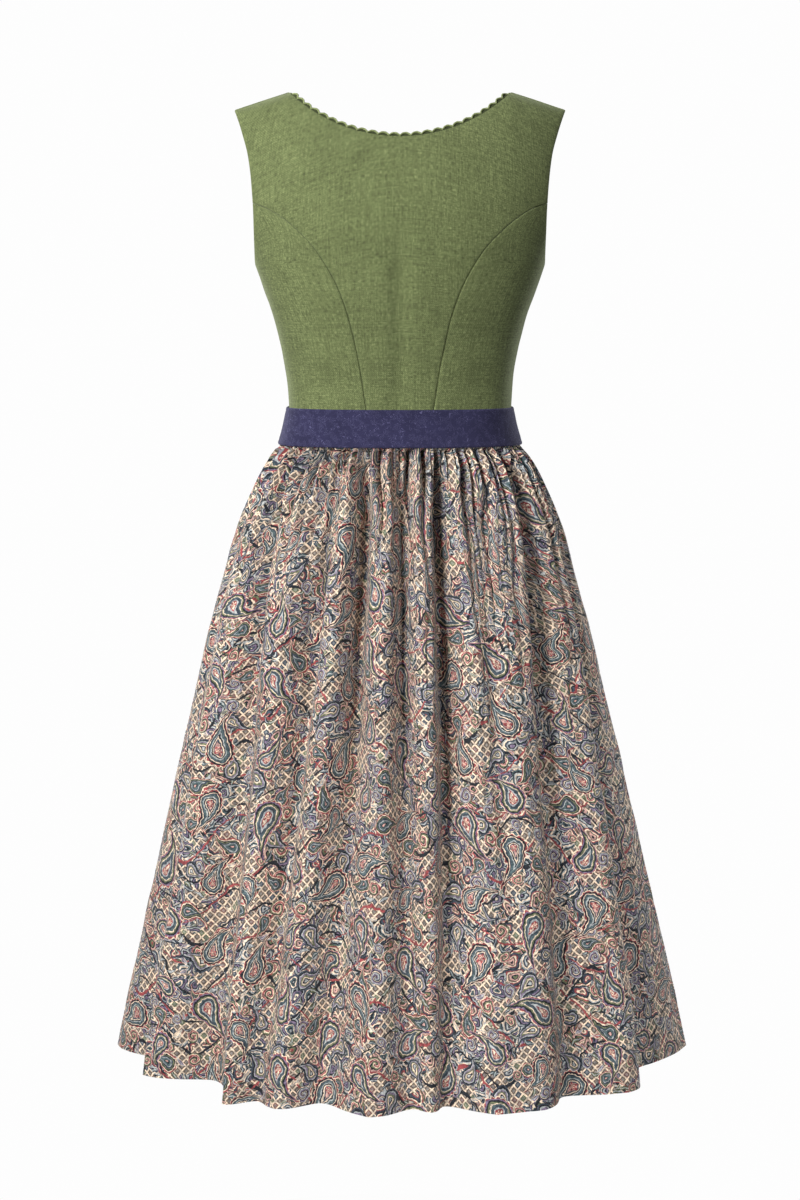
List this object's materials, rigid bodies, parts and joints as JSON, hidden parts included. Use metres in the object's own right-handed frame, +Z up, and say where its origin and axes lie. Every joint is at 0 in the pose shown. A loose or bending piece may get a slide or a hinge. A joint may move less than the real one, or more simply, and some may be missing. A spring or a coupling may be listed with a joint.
{
  "type": "dirndl dress",
  "caption": "Sleeveless dirndl dress with a fitted panelled bodice, a scalloped braid round the neck, a contrasting waistband and a wide gathered midi skirt, in its worn form.",
  "frame": {"origin": "midway between the ends of the neck opening on the two shoulder seams, at their height, where the wearer's shoulders carry the dress", "axes": "+Z up the wearer's body, +Y towards the wearer's front, +X towards the wearer's right; the dress hangs along -Z"},
  "size_m": [0.6963, 0.5787, 1.1523],
  "materials": {
    "bodice_cloth": "fine olive green wool twill, matt and slightly heathered",
    "neck_braid": "green scalloped braid with a raised cord edge, matt",
    "waistband_cloth": "dark violet blue cloth with a fine curled pile, matt",
    "skirt_print": "printed light cloth, a dense cream, taupe, teal and red paisley over a lattice ground, matt"
  },
  "bodies": {
    "root": {"bodice_centre_back": "bodice_cloth", "bodice_side_back_left": "bodice_cloth", "bodice_side_back_right": "bodice_cloth", "bodice_side_front_left": "bodice_cloth", "bodice_side_front_right": "bodice_cloth", "bodice_centre_front_left": "bodice_cloth", "bodice_centre_front_right": "bodice_cloth", "neck_trim_back": "neck_braid", "neck_trim_front_left": "neck_braid", "neck_trim_front_right": "neck_braid", "waistband_back": "waistband_cloth", "waistband_front_left": "waistband_cloth", "waistband_front_right": "waistband_cloth", "skirt_back": "skirt_print", "skirt_front_left": "skirt_print", "skirt_front_right": "skirt_print"}
  },
  "joints": []
}
